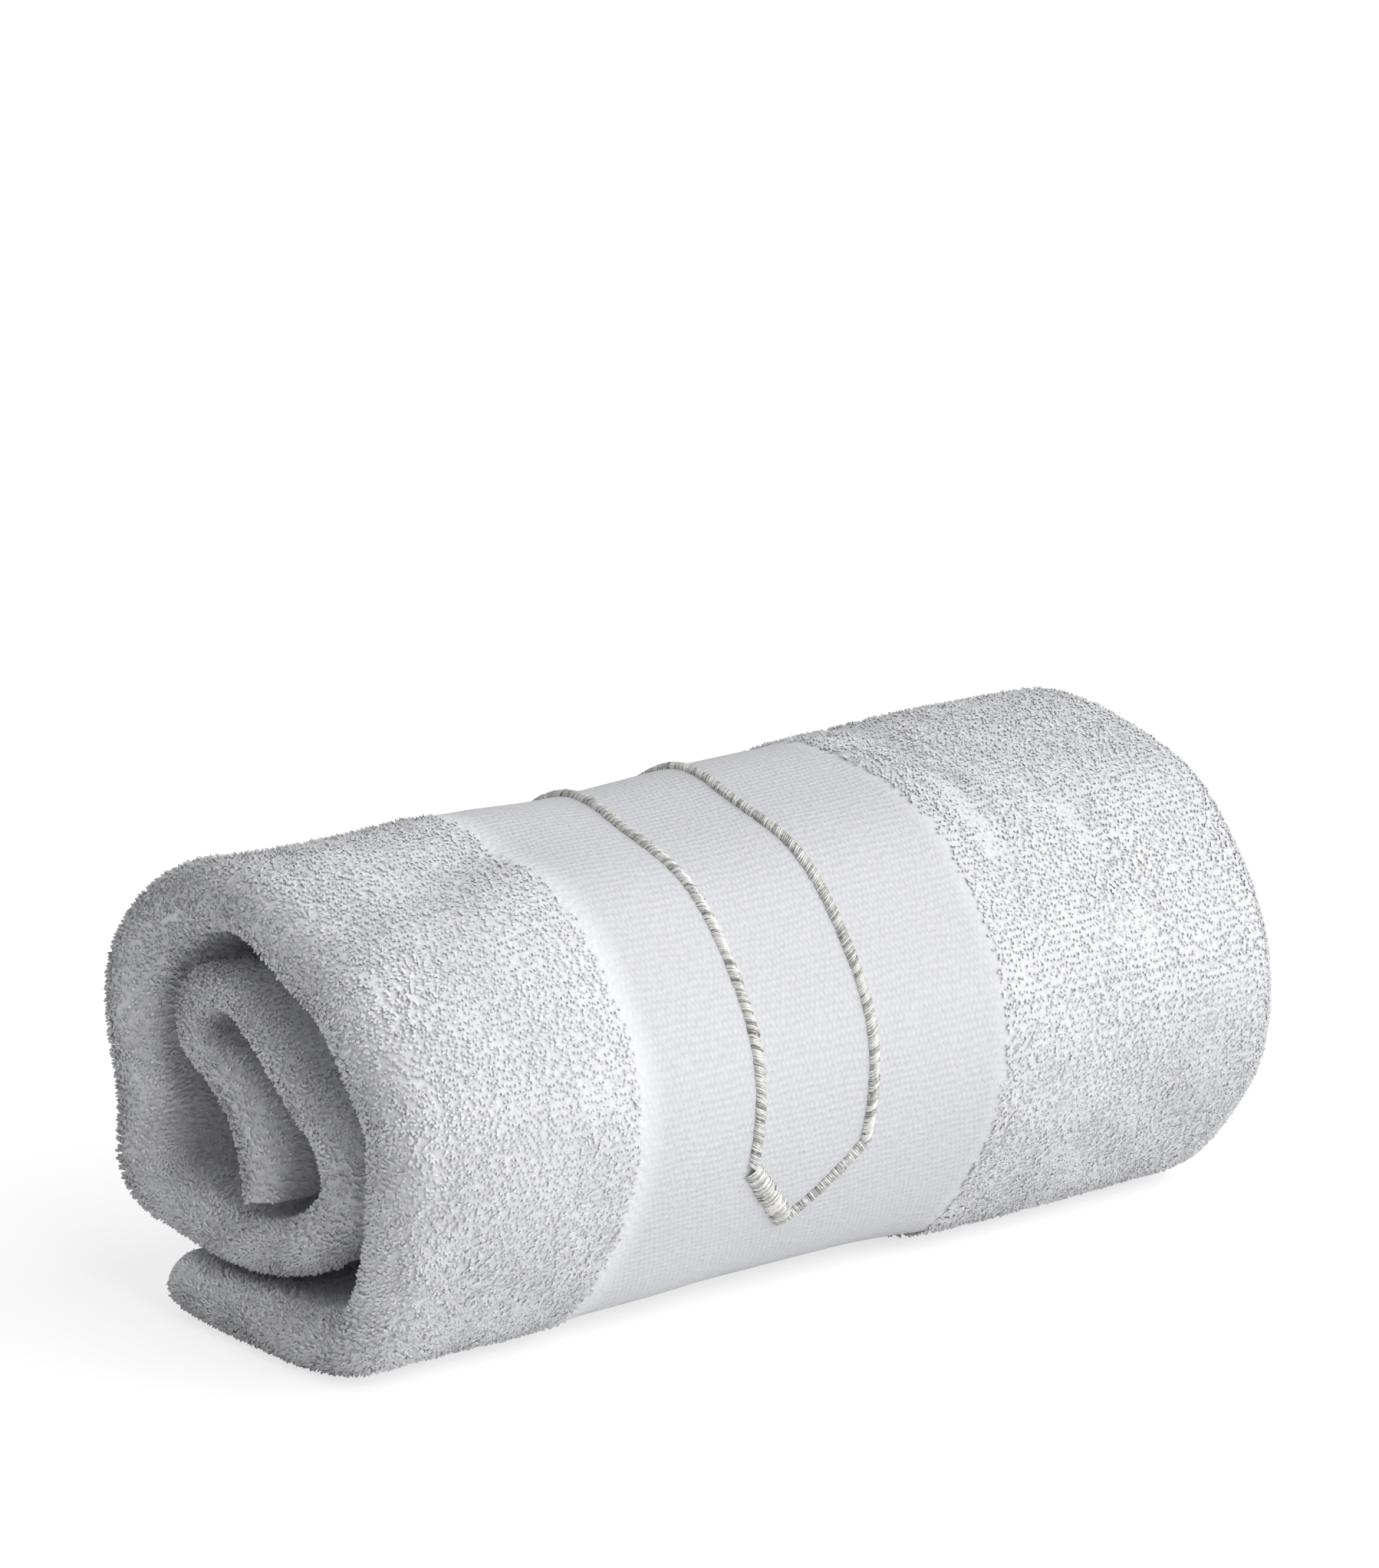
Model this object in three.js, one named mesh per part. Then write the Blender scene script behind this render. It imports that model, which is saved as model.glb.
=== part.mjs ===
// Rolled hand towel: one piece of white terry, folded in four along its length and then rolled
// up from one side. It lies on its underside with the loose end of the strip tucked below.
// Millimetres. X runs along the roll, Z is up, the origin is on the surface below the middle.
import * as THREE from 'three';

// The roll and the folded strip that it is wound from
const ROLL_LENGTH = 225;
const PANELS = 4;
const PANEL_GAP = 0.5;
const STATIONS = 56;

// Ends of the strip: the outer fold is a little longer than round, the panels' far ends stagger
const NEAR_END = -ROLL_LENGTH / 2;
const FAR_END = ROLL_LENGTH / 2;
const NEAR_FOLD_STRETCH = 1.15;
const FAR_FOLD_SETBACK = 1.5;
const INNER_HEM_SETBACK = 4;
const OUTER_FOLD_STEPS = 7;
const INNER_FOLD_STEPS = 3;

// Flat woven border on the outermost panel, thinner than the terry on both sides of it
const BORDER_FROM = -62;
const BORDER_TO = 27.8;
const BORDER_DEPTH = 1.5;
const BORDER_STEP = 1;

// The weight of the roll presses its underside flat
const PRESS = 0.6;

// The near rim leans towards the core over this stretch
const LEAN_FROM = -66;
const LEAN_OVER = 46.5;

// Girth of the roll along its length, as a share of the route below, drawn in about PIVOT_ACROSS
const PIVOT_ACROSS = 8;
const GIRTH = [
  { along: -112.5, share: 0.968 },
  { along: -80, share: 0.955 },
  { along: -54, share: 0.968 },
  { along: -30, share: 0.96 },
  { along: 12, share: 0.98 },
  { along: 102, share: 0.998 },
  { along: 112.5, share: 0.9 },
];

// Route of the strip's middle, from its loose end under the back to its first end in the core.
// across: place in Y, up: place in Z, thick: all panels together, inset: how far the near fold
// stands back from the rim, lean: how far the near rim is drawn inwards.
const ROUTE = [
  { at: 'tail tip', across: 33, up: 8.2, thick: 13, inset: 1, lean: 0 },
  { at: 'tail', across: 20.5, up: 6.5, thick: 12.5, inset: 1, lean: 0 },
  { at: 'under back', across: 4, up: 6.5, thick: 12.5, inset: 0.5, lean: 0 },
  { at: 'under front', across: -13.5, up: 6.8, thick: 13, inset: 0, lean: 0 },
  { at: 'front toe', across: -30.3, up: 11.4, thick: 14.5, inset: 0, lean: 1 },
  { at: 'front low', across: -42, up: 24.2, thick: 15.5, inset: 0, lean: 6.5 },
  { at: 'front', across: -50.3, up: 41.8, thick: 16, inset: 0, lean: 12 },
  { at: 'front high', across: -51.4, up: 59.3, thick: 16, inset: 0, lean: 13 },
  { at: 'shoulder', across: -43.3, up: 75.2, thick: 16, inset: 0, lean: 14.8 },
  { at: 'top front', across: -31, up: 88, thick: 16, inset: 0, lean: 13.7 },
  { at: 'top', across: -11.3, up: 94.5, thick: 16, inset: 0, lean: 10.5 },
  { at: 'top back', across: 8, up: 96.3, thick: 16, inset: 0, lean: 4.5 },
  { at: 'back shoulder', across: 26.5, up: 88.8, thick: 16, inset: 0.5, lean: -2.5 },
  { at: 'back high', across: 46.8, up: 70, thick: 16, inset: 1, lean: -4 },
  { at: 'back', across: 51.6, up: 55.5, thick: 16, inset: 1, lean: 1.6 },
  { at: 'back low', across: 51.2, up: 42, thick: 15.5, inset: 1, lean: 4.4 },
  { at: 'back heel', across: 45.8, up: 30, thick: 13.5, inset: 2, lean: -3.6 },
  { at: 'over the tail', across: 32, up: 22.5, thick: 11.5, inset: 2.5, lean: 0.5 },
  { at: 'second floor', across: 16, up: 20.5, thick: 11, inset: 3.5, lean: 0 },
  { at: 'second under', across: 2, up: 21.5, thick: 11, inset: 4.5, lean: 0 },
  { at: 'second toe', across: -10.5, up: 27.5, thick: 14, inset: 5, lean: 0 },
  { at: 'second front', across: -19.9, up: 36.5, thick: 16.5, inset: 5, lean: 3 },
  { at: 'second bend', across: -19.3, up: 50.4, thick: 13.5, inset: 5, lean: 6 },
  { at: 'slope', across: -10, up: 61.5, thick: 11, inset: 5, lean: 9 },
  { at: 'slope high', across: 1.5, up: 70.5, thick: 10, inset: 5, lean: 8 },
  { at: 'second top', across: 14, up: 74.8, thick: 9.5, inset: 5, lean: 4.5 },
  { at: 'second back', across: 25, up: 72, thick: 9, inset: 5.5, lean: 0.5 },
  { at: 'turn high', across: 30.6, up: 68.8, thick: 8.5, inset: 6, lean: 0 },
  { at: 'turn', across: 32.6, up: 63.8, thick: 8.5, inset: 6, lean: 0 },
  { at: 'turn low', across: 30.8, up: 58.8, thick: 8.5, inset: 6, lean: 0 },
  { at: 'return', across: 26.6, up: 55.8, thick: 10, inset: 6.5, lean: 0 },
  { at: 'return low', across: 21, up: 51.8, thick: 12.5, inset: 6.5, lean: 0 },
  { at: 'tongue', across: 15, up: 44.5, thick: 15, inset: 6.5, lean: 0 },
  { at: 'tongue low', across: 11.8, up: 36, thick: 13.5, inset: 6.5, lean: 0 },
  { at: 'tongue tip', across: 10.8, up: 29.5, thick: 9, inset: 6.5, lean: 0 },
];

// Stations stand closer together where the route turns: one for this length or this turn
const STATION_LENGTH = 9;
const STATION_TURN = THREE.MathUtils.degToRad(14);
const ROUTE_SAMPLES = 1500;

// Value of one column of a table at a place given in rows and parts of a row
function column(table, name, row) {
  const first = Math.min(Math.floor(row), table.length - 2);
  return THREE.MathUtils.lerp(table[first][name], table[first + 1][name], row - first);
}

// Share of the girth at a place along the roll
function girthAt(along) {
  let row = 0;
  while (row < GIRTH.length - 2 && along > GIRTH[row + 1].along) row += 1;
  const span = GIRTH[row + 1].along - GIRTH[row].along;
  return column(GIRTH, 'share', row + (along - GIRTH[row].along) / span);
}

// How much of the rim's lean has been reached at a place along the roll
function leanAt(along) {
  const reached = THREE.MathUtils.clamp((LEAN_FROM - along) / LEAN_OVER, 0, 1);
  return reached * reached * (1.6 - 0.6 * reached);
}

// Stations along the route: the strip's middle, its outward direction and its table values
function makeStations() {
  const knots = ROUTE.map((row) => new THREE.Vector3(0, row.across, row.up));
  const curve = new THREE.CatmullRomCurve3(knots, false, 'centripetal');
  const cost = [0];
  for (let i = 1; i <= ROUTE_SAMPLES; i += 1) {
    const from = (i - 1) / ROUTE_SAMPLES;
    const to = i / ROUTE_SAMPLES;
    const length = curve.getPoint(to).distanceTo(curve.getPoint(from));
    const turn = curve.getTangent(to).angleTo(curve.getTangent(from));
    cost.push(cost[i - 1] + length / STATION_LENGTH + turn / STATION_TURN);
  }
  const stations = [];
  let sample = 0;
  for (let k = 0; k < STATIONS; k += 1) {
    const wanted = (cost[ROUTE_SAMPLES] * k) / (STATIONS - 1);
    while (sample < ROUTE_SAMPLES && cost[sample] < wanted) sample += 1;
    const t = sample / ROUTE_SAMPLES;
    const row = t * (ROUTE.length - 1);
    const tangent = curve.getTangent(t);
    stations.push({
      middle: curve.getPoint(t),
      outward: new THREE.Vector3(0, -tangent.z, tangent.y),
      thick: column(ROUTE, 'thick', row),
      inset: column(ROUTE, 'inset', row),
      lean: column(ROUTE, 'lean', row),
    });
  }
  return stations;
}

// Half a turn of the cloth from one panel to another, without its two ends. The same face of the
// cloth looks out of the fold or, where the fold runs the other way round, into it.
function foldArc(centre, reach, from, to, steps) {
  const middle = (from + to) / 2;
  const radius = (from - to) / 2;
  const face = reach * radius < 0 ? 1 : -1;
  const arc = [];
  for (let i = 1; i <= steps; i += 1) {
    const angle = (Math.PI * i) / (steps + 1);
    const slope = new THREE.Vector2(Math.sin(angle) / reach, Math.cos(angle) / radius);
    arc.push({
      along: centre + reach * Math.sin(angle),
      out: middle + radius * Math.cos(angle),
      facing: slope.normalize().multiplyScalar(face),
      border: false,
    });
  }
  return arc;
}

// One panel of the cloth at a fixed height in the strip
function panel(places, out, side) {
  return places.map((along) => ({
    along,
    out,
    facing: new THREE.Vector2(0, side),
    border: false,
  }));
}

// Section of the folded strip at a station: the middle line of the cloth, from the outer hem
// round the near fold, the far fold and the inner near fold to the inner hem
function foldedSection(station) {
  const pitch = station.thick / PANELS;
  const half = (pitch - PANEL_GAP) / 2;
  const reach = 1.5 * pitch * NEAR_FOLD_STRETCH;
  const near = NEAR_END + station.inset + reach + half;
  const far = FAR_END - FAR_FOLD_SETBACK - 0.5 * pitch - half;
  const shared = GIRTH.slice(1, -1).map((row) => row.along);
  const outwards = [near, ...shared];
  const inwards = [...outwards].reverse();
  const edges = [
    BORDER_TO + BORDER_STEP / 2,
    BORDER_TO - BORDER_STEP / 2,
    BORDER_FROM + BORDER_STEP / 2,
    BORDER_FROM - BORDER_STEP / 2,
  ];
  const outer = panel([FAR_END, ...inwards, ...edges].sort((a, b) => b - a), 1.5 * pitch, 1);
  outer.forEach((place) => {
    place.border = place.along > BORDER_FROM && place.along < BORDER_TO;
  });
  const line = [
    ...outer,
    ...foldArc(near, -reach, 1.5 * pitch, -1.5 * pitch, OUTER_FOLD_STEPS),
    ...panel([...outwards, far], -1.5 * pitch, -1),
    ...foldArc(far, 0.5 * pitch, -1.5 * pitch, -0.5 * pitch, INNER_FOLD_STEPS),
    ...panel([far, ...inwards], -0.5 * pitch, 1),
    ...foldArc(near, -0.5 * pitch, -0.5 * pitch, 0.5 * pitch, INNER_FOLD_STEPS),
    ...panel([...outwards, FAR_END - INNER_HEM_SETBACK], 0.5 * pitch, -1),
  ];
  return { line, half };
}

// Place in space of a point of the strip's section
function inSpace(station, along, out) {
  const shifted = out - station.lean * leanAt(along);
  const across = station.middle.y + shifted * station.outward.y;
  const up = station.middle.z + shifted * station.outward.z;
  const share = girthAt(along);
  return [along, PIVOT_ACROSS + (across - PIVOT_ACROSS) * share, Math.max(0, up * share - PRESS)];
}

// The whole towel as one closed surface: a face on each side of the cloth, and its four edges
function towelGeometry() {
  const positions = [];
  const faces = [];
  const stations = makeStations();
  let columns = 0;
  for (const station of stations) {
    const { line, half } = foldedSection(station);
    columns = line.length;
    for (const side of [1, -1]) {
      for (const place of line) {
        const drop = side === 1 && place.border ? BORDER_DEPTH : 0;
        const along = place.along + side * half * place.facing.x;
        positions.push(...inSpace(station, along, place.out + side * half * place.facing.y - drop));
      }
    }
  }
  const vertex = (k, side, i) => (k * 2 + side) * columns + i;
  const quad = (a, b, c, d) => faces.push(a, b, c, a, c, d);
  const { line } = foldedSection(stations[0]);
  for (let k = 0; k < STATIONS - 1; k += 1) {
    for (let i = 0; i < columns - 1; i += 1) {
      const outer = [vertex(k, 0, i), vertex(k + 1, 0, i), vertex(k + 1, 0, i + 1), vertex(k, 0, i + 1)];
      const inner = [vertex(k, 1, i + 1), vertex(k + 1, 1, i + 1), vertex(k + 1, 1, i), vertex(k, 1, i)];
      if (line[i + 1].along < line[i].along) {
        quad(...outer);
        quad(inner[3], ...inner.slice(0, 3));
      } else {
        quad(...outer.slice(1), outer[0]);
        quad(...inner);
      }
    }
    const hem = columns - 1;
    quad(vertex(k, 0, 0), vertex(k, 1, 0), vertex(k + 1, 1, 0), vertex(k + 1, 0, 0));
    quad(vertex(k, 0, hem), vertex(k + 1, 0, hem), vertex(k + 1, 1, hem), vertex(k, 1, hem));
  }
  const last = STATIONS - 1;
  for (let i = 0; i < columns - 1; i += 1) {
    quad(vertex(0, 0, i), vertex(0, 0, i + 1), vertex(0, 1, i + 1), vertex(0, 1, i));
    quad(vertex(last, 0, i), vertex(last, 1, i), vertex(last, 1, i + 1), vertex(last, 0, i + 1));
  }
  const geometry = new THREE.BufferGeometry();
  geometry.setAttribute('position', new THREE.Float32BufferAttribute(positions, 3));
  geometry.setIndex(faces);
  geometry.computeVertexNormals();
  return geometry;
}

const whiteTerry = new THREE.MeshStandardMaterial({
  color: 0xe9e9ee,
  roughness: 0.95,
  metalness: 0,
});

const towel = new THREE.Mesh(towelGeometry(), whiteTerry);
towel.name = 'towel_roll';

const group = new THREE.Group();
group.add(towel);

export default group;
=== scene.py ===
"""A rolled hand towel of white terry with a flat woven border and silver embroidery.

The towel is one sheet of cloth, folded in four along its length and wound up. Its sheet is mapped
from the flat cloth to the fold and the winding, and the terry loops and the satin stitches stand
on it. Sizes are in millimetres up to where a mesh is written, which is in metres. X runs along the
roll, Z is up, and the origin is on the surface below the middle.
"""

from __future__ import annotations

import logging
import math
from dataclasses import dataclass, field
from enum import IntEnum

import bmesh
import bpy
import numpy as np
from mathutils import Matrix, Vector
from mathutils.bvhtree import BVHTree

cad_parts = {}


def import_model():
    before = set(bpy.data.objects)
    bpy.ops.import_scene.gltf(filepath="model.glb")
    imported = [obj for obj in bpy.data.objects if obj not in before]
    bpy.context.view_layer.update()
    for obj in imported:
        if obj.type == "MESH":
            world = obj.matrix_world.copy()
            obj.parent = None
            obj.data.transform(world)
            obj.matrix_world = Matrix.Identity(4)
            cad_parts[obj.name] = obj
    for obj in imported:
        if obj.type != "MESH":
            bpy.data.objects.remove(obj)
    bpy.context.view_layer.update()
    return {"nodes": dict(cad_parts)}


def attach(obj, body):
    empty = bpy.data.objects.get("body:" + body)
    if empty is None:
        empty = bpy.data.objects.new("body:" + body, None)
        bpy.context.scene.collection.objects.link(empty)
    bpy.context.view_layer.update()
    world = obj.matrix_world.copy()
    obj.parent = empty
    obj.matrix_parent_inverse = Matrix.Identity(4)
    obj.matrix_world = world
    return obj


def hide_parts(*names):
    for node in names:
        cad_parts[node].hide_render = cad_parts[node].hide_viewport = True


MM = 0.001
IMAGE_LONG_SIDE = 2044
SENSOR = 36.0
GOLDEN_ANGLE = 2.39996
ODD_DIRECTION = (0.31, 0.52, 0.79)
log = logging.getLogger("towel")


@dataclass(frozen=True)
class Knot:
    """One place on the strip's route.

    across and up are its middle, thick is all four panels together, inset is how far the near
    fold stands back from the rim, and lean is how far the near rim is drawn inwards.
    """

    name: str
    across: float
    up: float
    thick: float
    inset: float
    lean: float


ROUTE = (
    Knot("tail tip", 33, 8.2, 13, 1, 0),
    Knot("tail", 20.5, 6.5, 12.5, 1, 0),
    Knot("under back", 4, 6.5, 12.5, 0.5, 0),
    Knot("under front", -13.5, 6.8, 13, 0, 0),
    Knot("front toe", -30.3, 11.4, 14.5, 0, 1),
    Knot("front low", -42, 24.2, 15.5, 0, 6.5),
    Knot("front", -50.3, 41.8, 16, 0, 12),
    Knot("front high", -51.4, 59.3, 16, 0, 13),
    Knot("shoulder", -43.3, 75.2, 16, 0, 14.8),
    Knot("top front", -31, 88, 16, 0, 13.7),
    Knot("top", -11.3, 94.5, 16, 0, 10.5),
    Knot("top back", 8, 96.3, 16, 0, 4.5),
    Knot("back shoulder", 26.5, 88.8, 16, 0.5, -2.5),
    Knot("back high", 46.8, 70, 16, 1, -4),
    Knot("back", 51.6, 55.5, 16, 1, 1.6),
    Knot("back low", 51.2, 42, 15.5, 1, 4.4),
    Knot("back heel", 45.8, 30, 13.5, 2, -3.6),
    Knot("over the tail", 32, 22.5, 11.5, 2.5, 0.5),
    Knot("second floor", 16, 20.5, 11, 3.5, 0),
    Knot("second under", 2, 21.5, 11, 4.5, 0),
    Knot("second toe", -10.5, 27.5, 14, 5, 0),
    Knot("second front", -19.9, 36.5, 16.5, 5, 3),
    Knot("second bend", -19.3, 50.4, 13.5, 5, 6),
    Knot("slope", -10, 61.5, 11, 5, 9),
    Knot("slope high", 1.5, 70.5, 10, 5, 8),
    Knot("second top", 14, 74.8, 9.5, 5, 4.5),
    Knot("second back", 25, 72, 9, 5.5, 0.5),
    Knot("turn high", 30.6, 68.8, 8.5, 6, 0),
    Knot("turn", 32.6, 63.8, 8.5, 6, 0),
    Knot("turn low", 30.8, 58.8, 8.5, 6, 0),
    Knot("return", 26.6, 55.8, 10, 6.5, 0),
    Knot("return low", 21, 51.8, 12.5, 6.5, 0),
    Knot("tongue", 15, 44.5, 15, 6.5, 0),
    Knot("tongue low", 11.8, 36, 13.5, 6.5, 0),
    Knot("tongue tip", 10.8, 29.5, 9, 6.5, 0),
)


class Part(IntEnum):
    """Stretches of the cloth from its outer hem to its inner hem, round the three folds."""

    OUTER = 0
    NEAR_FOLD = 1
    SECOND = 2
    FAR_FOLD = 3
    THIRD = 4
    INNER_FOLD = 5
    INNER = 6


@dataclass(frozen=True)
class Girth:
    """Share of the route's size at a place along the roll."""

    along: float
    share: float


GIRTHS = (
    Girth(-112.5, 0.968),
    Girth(-80, 0.955),
    Girth(-54, 0.968),
    Girth(-30, 0.96),
    Girth(12, 0.98),
    Girth(102, 0.998),
    Girth(112.5, 0.9),
)


@dataclass(frozen=True)
class Crease:
    """A soft trough or ridge of the strip between two places on it, each along and down the strip."""

    start: tuple[float, float]
    end: tuple[float, float]
    height: float
    width: float


def monotone(at: np.ndarray, places: np.ndarray, values: np.ndarray) -> np.ndarray:
    """Smooth curve through a table that doesn't overshoot its values.

    Args:
        at: Places where the curve is wanted.
        places: The table's places, rising.
        values: The table's values.

    Returns:
        The curve's values at those places.
    """
    step = np.diff(places)
    rise = np.diff(values) / step
    slope = np.zeros(len(values))
    slope[0], slope[-1] = rise[0], rise[-1]
    same = rise[:-1] * rise[1:] > 0
    ahead, behind = 2 * step[1:] + step[:-1], step[1:] + 2 * step[:-1]
    mean = (ahead + behind) / (ahead / np.where(same, rise[:-1], 1) + behind / np.where(same, rise[1:], 1))
    slope[1:-1] = np.where(same, mean, 0)
    at = np.clip(at, places[0], places[-1])
    row = np.clip(np.searchsorted(places, at) - 1, 0, len(step) - 1)
    part = (at - places[row]) / step[row]
    return (
        values[row] * (1 + 2 * part) * (1 - part) ** 2
        + slope[row] * step[row] * part * (1 - part) ** 2
        + values[row + 1] * part**2 * (3 - 2 * part)
        - slope[row + 1] * step[row] * part**2 * (1 - part)
    )


def waves(seed: int, shape: np.ndarray, wavelength: float, count: int = 7) -> np.ndarray:
    """Smooth random field over flat cloth, from a few sine waves.

    Args:
        seed: Seed of the waves' directions and phases.
        shape: Points on the flat cloth, two columns.
        wavelength: Typical length of a wave.
        count: Number of waves.

    Returns:
        Values of about -1 to 1, one for each point.
    """
    dice = np.random.default_rng(seed)
    total = np.zeros(len(shape))
    for _ in range(count):
        turn, phase = dice.uniform(0, 2 * math.pi, 2)
        length = wavelength * dice.uniform(0.7, 1.5)
        way = np.array((math.cos(turn), math.sin(turn)))
        total += np.sin(shape @ way * (2 * math.pi / length) + phase)
    return total / math.sqrt(count)


def unit(vectors: np.ndarray) -> np.ndarray:
    """The vectors, each one long."""
    return vectors / np.maximum(np.linalg.norm(vectors, axis=-1, keepdims=True), 1e-9)


@dataclass
class RolledCloth:
    """The towel's cloth, folded in four and wound along the route."""

    length: float = 225.0
    panels: int = 4
    panel_gap: float = 0.5
    near_fold_stretch: float = 1.15
    far_fold_setback: float = 1.5
    inner_hem_setback: float = 4.0
    press: float = 0.6
    lean_from: float = -66.0
    lean_over: float = 46.5
    pivot_across: float = 8.0
    kept_to: float = -66.0
    kept_share: float = 0.82
    flat_size: tuple[float, float] = (480.0, 900.0)
    border_from_hem: tuple[float, float] = (84.7, 174.5)
    hem_width: float = 9.0
    route_samples: int = 3000
    free_runs: tuple[float, float] = (42.0, 238.0)
    free_over: float = 20.0
    far_terry_from: float = 24.0
    far_terry_over: float = 12.0
    near_terry_to: float = -50.0
    near_terry_over: float = 16.0
    wide_wave: float = 42.0
    fine_wave: float = 17.0
    band_wave_height: float = 0.12
    wide_wave_height: float = 0.28
    fine_wave_height: float = 0.1
    creases: tuple[Crease, ...] = (
        Crease((40.0, 186.0), (66.0, 150.0), -1.2, 4.5),
        Crease((66.0, 150.0), (76.0, 118.0), -0.7, 4.0),
        Crease((-84.0, 170.0), (-62.0, 176.0), -1.2, 8.0),
        Crease((-92.0, 150.0), (-84.0, 128.0), -0.8, 7.0),
        Crease((-70.0, 98.0), (-67.0, 66.0), -0.6, 4.0),
        Crease((96.0, 128.0), (110.0, 100.0), 0.8, 9.0),
        Crease((48.0, 199.0), (43.0, 147.0), -1.0, 4.0),
        Crease((34.0, 62.0), (100.0, 52.0), 1.0, 13.0),
        Crease((-20.0, 68.0), (20.0, 68.0), -0.9, 11.0),
    )

    def __post_init__(self) -> None:
        """Samples the route and measures its length."""
        knots = np.array([(k.across, k.up, k.thick, k.inset, k.lean) for k in ROUTE], float)
        self.near_end, self.far_end = -self.length / 2, self.length / 2
        self.samples = self.curve_through(knots)
        middle = self.samples[:, :2]
        self.runs = np.concatenate([[0], np.cumsum(np.linalg.norm(np.diff(middle, axis=0), axis=1))])
        self.run_length = float(self.runs[-1])
        tangent = unit(np.gradient(middle, axis=0))
        self.outwards = np.stack([-tangent[:, 1], tangent[:, 0]], 1)
        turns = np.unwrap(np.arctan2(tangent[:, 1], tangent[:, 0]))
        self.turning = np.concatenate([[0], np.cumsum(np.abs(np.diff(turns)))])
        self.fine_columns = np.linspace(0, len(Part) - 1e-6, self.route_samples)
        path = self.point(self.fine_columns, np.full(self.route_samples, self.run_length * 0.3))
        self.fine_lengths = np.concatenate([[0], np.cumsum(np.linalg.norm(np.diff(path, axis=0), axis=1))])

    def curve_through(self, knots: np.ndarray) -> np.ndarray:
        """Centripetal Catmull-Rom curve through the knots' places, with their other columns.

        Args:
            knots: One row for each knot; the first two columns are its place.

        Returns:
            The curve's rows, evenly spread over the knots.
        """
        ends = np.concatenate([[2 * knots[0] - knots[1]], knots, [2 * knots[-1] - knots[-2]]])
        at = np.linspace(0, len(knots) - 1, self.route_samples)
        row = np.minimum(at.astype(int), len(knots) - 2)
        before, start, end, after = (ends[row + k] for k in range(4))
        gaps = [
            np.linalg.norm(b[:, :2] - a[:, :2], axis=1, keepdims=True) ** 0.5
            for a, b in ((before, start), (start, end), (end, after))
        ]
        leave = (start - before) / gaps[0] - (end - before) / (gaps[0] + gaps[1]) + (end - start) / gaps[1]
        arrive = (end - start) / gaps[1] - (after - start) / (gaps[1] + gaps[2]) + (after - end) / gaps[2]
        leave, arrive = leave * gaps[1], arrive * gaps[1]
        part = (at - row)[:, None]
        return (
            start * (1 + 2 * part) * (1 - part) ** 2
            + leave * part * (1 - part) ** 2
            + end * part**2 * (3 - 2 * part)
            - arrive * part**2 * (1 - part)
        )

    def station(self, run: np.ndarray) -> tuple[np.ndarray, ...]:
        """Middle, outward direction, thickness, inset and lean of the strip at places down it."""
        columns = [np.interp(run, self.runs, self.samples[:, k]) for k in range(5)]
        outward = [np.interp(run, self.runs, self.outwards[:, k]) for k in range(2)]
        middle = np.stack(columns[:2], 1)
        return middle, unit(np.stack(outward, 1)), columns[2], columns[3], columns[4]

    def profile(
        self, column: np.ndarray, thick: np.ndarray, inset: np.ndarray
    ) -> tuple[np.ndarray, np.ndarray]:
        """Section of the folded strip: the middle line of the cloth.

        Args:
            column: Place on the line, as a Part and a share of it.
            thick: Thickness of the strip there.
            inset: How far its near fold stands back.

        Returns:
            Places along the roll, and heights above the strip's middle.
        """
        pitch = thick / self.panels
        half = (pitch - self.panel_gap) / 2
        reach = 1.5 * pitch * self.near_fold_stretch
        near = self.near_end + inset + reach + half
        far = self.far_end - self.far_fold_setback - 0.5 * pitch - half
        part = np.clip(np.floor(column), 0, len(Part) - 1).astype(int)
        share = column - part
        across, back = np.sin(np.pi * share), np.cos(np.pi * share)
        kept = self.far_end + (self.kept_to - self.far_end) * share / self.kept_share
        free = self.kept_to + (near - self.kept_to) * (share - self.kept_share) / (1 - self.kept_share)
        alongs = [
            np.where(share < self.kept_share, kept, free),
            near - reach * across,
            near + (far - near) * share,
            far + 0.5 * pitch * across,
            far + (near - far) * share,
            near - 0.5 * pitch * across,
            near + (self.far_end - self.inner_hem_setback - near) * share,
        ]
        outs = [
            1.5 * pitch,
            1.5 * pitch * back,
            -1.5 * pitch,
            -pitch - 0.5 * pitch * back,
            -0.5 * pitch,
            -0.5 * pitch * back,
            0.5 * pitch,
        ]
        return np.choose(part, alongs), np.choose(part, outs)

    def lean_at(self, along: np.ndarray) -> np.ndarray:
        """How much of the rim's lean is reached at places along the roll."""
        reached = np.clip((self.lean_from - along) / self.lean_over, 0, 1)
        return reached**2 * (1.6 - 0.6 * reached)

    def relief(self, along: np.ndarray, run: np.ndarray) -> np.ndarray:
        """Height of the soft creases and of the terry's gentle waves."""
        flat = np.stack([along, run], 1)
        start, end = self.free_runs
        free = np.clip((run - start) / self.free_over, 0, 1) * np.clip((end - run) / self.free_over, 0, 1)
        rough = np.clip((along - self.far_terry_from) / self.far_terry_over, 0, 1)
        rough += np.clip((self.near_terry_to - along) / self.near_terry_over, 0, 1)
        height = (self.band_wave_height + self.wide_wave_height * rough) * waves(11, flat, self.wide_wave)
        height += self.fine_wave_height * rough * waves(12, flat, self.fine_wave)
        for crease in self.creases:
            start, end = np.array(crease.start), np.array(crease.end)
            line = end - start
            share = np.clip((flat - start) @ line / (line @ line), 0, 1)
            off = np.linalg.norm(flat - start - share[:, None] * line, axis=1)
            height += crease.height * np.exp(-((off / crease.width) ** 2))
        return height * free

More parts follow.
